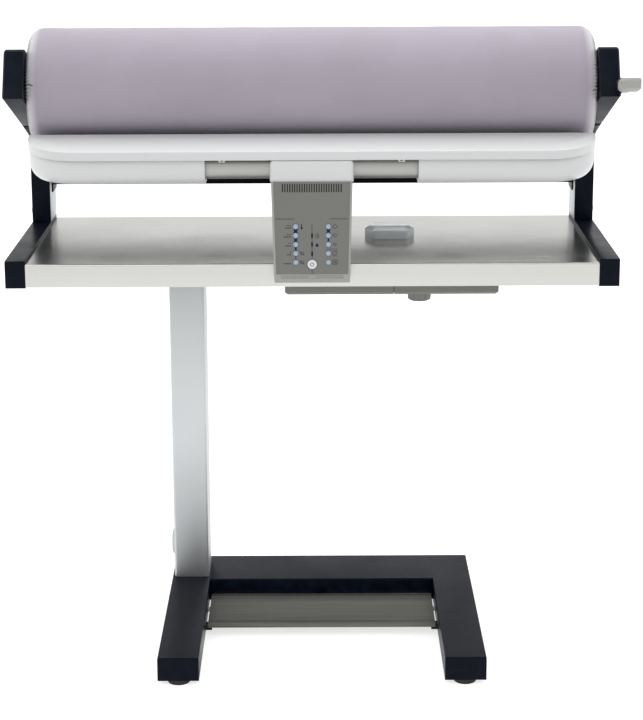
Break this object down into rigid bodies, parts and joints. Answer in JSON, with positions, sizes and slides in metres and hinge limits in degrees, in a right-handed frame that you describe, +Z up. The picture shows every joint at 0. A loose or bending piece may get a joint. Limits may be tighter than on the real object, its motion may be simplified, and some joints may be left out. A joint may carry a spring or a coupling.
{
  "type": "flatwork ironer",
  "caption": "Free-standing flatwork ironer: padded roll between side frames, swinging heated shoe with feed board and control box, steel tray, column, U-shaped base and foot pedal.",
  "frame": {"origin": "on the floor, at the middle of the whole part's outline seen from above; X = 0 is also the middle of the base", "axes": "+X along the roll to the user's right, +Y away from the user to the back, +Z up"},
  "size_m": [0.939, 0.427, 0.978],
  "materials": {
    "navy_paint": "semi-gloss",
    "white_plastic": "gloss",
    "satin_metal": "satin",
    "stainless": "brushed",
    "zinc_steel": "satin",
    "light_grey_plastic": "satin",
    "fascia_grey": "satin",
    "housing_grey": "matte",
    "cap_grey": "satin",
    "black_rubber": "matte",
    "cotton": "woven",
    "felt": "felted",
    "key_blue": "gloss",
    "button_white": "gloss",
    "circuit_green": "matte",
    "pedal_metal": "grooved",
    "shoe_metal": "polished"
  },
  "bodies": {
    "stand": {"base_left_beam": "navy_paint", "base_right_beam": "navy_paint", "base_rear_beam": "navy_paint", "rubber_glides": "black_rubber", "column": "satin_metal", "column_side_cap": "satin_metal", "column_head_plate": "zinc_steel", "column_bolts": "zinc_steel", "head_carrier": "navy_paint", "tray_arms": "navy_paint", "posts": "satin_metal", "post_covers": "navy_paint", "left_roll_bracket": "navy_paint", "right_roll_bracket": "navy_paint", "rear_tie_bar": "navy_paint", "tray": "stainless", "tray_cap": "cap_grey", "electrics_housing_left": "housing_grey", "electrics_housing_right": "housing_grey", "cord_gland": "black_rubber", "power_board": "circuit_green", "roll_motor": "zinc_steel", "roll_bearing": "zinc_steel", "lift_gear_motor": "zinc_steel", "pivot_pins": "zinc_steel", "pedal_stops": "black_rubber", "pedal_switch": "housing_grey"},
    "roll": {"roll_tube": "zinc_steel", "roll_discs": "zinc_steel", "roll_padding": "felt", "roll_cover": "cotton"},
    "shoe": {"shoe_plate": "shoe_metal", "heating_rods": "zinc_steel", "shoe_trough": "zinc_steel", "left_shoe_arm": "zinc_steel", "right_shoe_arm": "zinc_steel", "feed_board": "white_plastic", "left_lower_shell": "white_plastic", "right_lower_shell": "white_plastic", "cross_tube": "satin_metal", "tube_clamps": "zinc_steel", "control_housing": "light_grey_plastic", "control_box": "light_grey_plastic", "control_fascia": "fascia_grey", "control_board": "circuit_green"},
    "cam": {"lift_cam": "zinc_steel"},
    "lever": {"release_lever": "satin_metal"},
    "pedal": {"foot_pedal": "pedal_metal"},
    "knob": {"knob": "housing_grey"},
    "power_button": {"power_button": "button_white"},
    "key_left_1": {"key_left_1": "key_blue"},
    "key_left_2": {"key_left_2": "key_blue"},
    "key_left_3": {"key_left_3": "key_blue"},
    "key_left_4": {"key_left_4": "key_blue"},
    "key_left_5": {"key_left_5": "key_blue"},
    "key_right_1": {"key_right_1": "key_blue"},
    "key_right_2": {"key_right_2": "key_blue"},
    "key_right_3": {"key_right_3": "key_blue"},
    "key_right_4": {"key_right_4": "key_blue"},
    "key_right_5": {"key_right_5": "key_blue"}
  },
  "joints": [
    {"name": "roll_turn", "type": "hinge", "parent": "stand", "child": "roll", "pos_m": [-0.012, 0, 0.888], "axis": [1, 0, 0], "continuous": true},
    {"name": "shoe_swing", "type": "hinge", "parent": "stand", "child": "shoe", "pos_m": [-0.012, 0.172, 0.8], "axis": [-1, 0, 0], "range_deg": [0, 3.5]},
    {"name": "cam_turn", "type": "hinge", "parent": "stand", "child": "cam", "pos_m": [-0.012, 0.104, 0.7555], "axis": [1, 0, 0], "range_deg": [0, 150]},
    {"name": "lever_lift", "type": "hinge", "parent": "stand", "child": "lever", "pos_m": [0.45, -0.092, 0.896], "axis": [-1, 0, 0], "range_deg": [0, 25], "stiffness_Nm_per_rad": 0.4, "springref_deg": -5.73},
    {"name": "pedal_press", "type": "hinge", "parent": "stand", "child": "pedal", "pos_m": [0, 0.034, 0.0175], "axis": [1, 0, 0], "range_deg": [0, 3], "stiffness_Nm_per_rad": 4, "springref_deg": -11.46},
    {"name": "knob_turn", "type": "hinge", "parent": "stand", "child": "knob", "pos_m": [0.152, -0.055, 0.573], "axis": [0, 0, 1], "range_deg": [0, 270]},
    {"name": "power_button_press", "type": "slide", "parent": "shoe", "child": "power_button", "axis": [0, 1, 0], "range_m": [0, 0.0008], "stiffness_N_per_m": 300, "springref_m": -0.001},
    {"name": "key_left_1_press", "type": "slide", "parent": "shoe", "child": "key_left_1", "axis": [0, 1, 0], "range_m": [0, 0.0008], "stiffness_N_per_m": 300, "springref_m": -0.001},
    {"name": "key_left_2_press", "type": "slide", "parent": "shoe", "child": "key_left_2", "axis": [0, 1, 0], "range_m": [0, 0.0008], "stiffness_N_per_m": 300, "springref_m": -0.001},
    {"name": "key_left_3_press", "type": "slide", "parent": "shoe", "child": "key_left_3", "axis": [0, 1, 0], "range_m": [0, 0.0008], "stiffness_N_per_m": 300, "springref_m": -0.001},
    {"name": "key_left_4_press", "type": "slide", "parent": "shoe", "child": "key_left_4", "axis": [0, 1, 0], "range_m": [0, 0.0008], "stiffness_N_per_m": 300, "springref_m": -0.001},
    {"name": "key_left_5_press", "type": "slide", "parent": "shoe", "child": "key_left_5", "axis": [0, 1, 0], "range_m": [0, 0.0008], "stiffness_N_per_m": 300, "springref_m": -0.001},
    {"name": "key_right_1_press", "type": "slide", "parent": "shoe", "child": "key_right_1", "axis": [0, 1, 0], "range_m": [0, 0.0008], "stiffness_N_per_m": 300, "springref_m": -0.001},
    {"name": "key_right_2_press", "type": "slide", "parent": "shoe", "child": "key_right_2", "axis": [0, 1, 0], "range_m": [0, 0.0008], "stiffness_N_per_m": 300, "springref_m": -0.001},
    {"name": "key_right_3_press", "type": "slide", "parent": "shoe", "child": "key_right_3", "axis": [0, 1, 0], "range_m": [0, 0.0008], "stiffness_N_per_m": 300, "springref_m": -0.001},
    {"name": "key_right_4_press", "type": "slide", "parent": "shoe", "child": "key_right_4", "axis": [0, 1, 0], "range_m": [0, 0.0008], "stiffness_N_per_m": 300, "springref_m": -0.001},
    {"name": "key_right_5_press", "type": "slide", "parent": "shoe", "child": "key_right_5", "axis": [0, 1, 0], "range_m": [0, 0.0008], "stiffness_N_per_m": 300, "springref_m": -0.001}
  ],
  "couplings": [
    {"joint": "cam_turn", "follows": "shoe_swing", "ratio": 42.857}
  ]
}
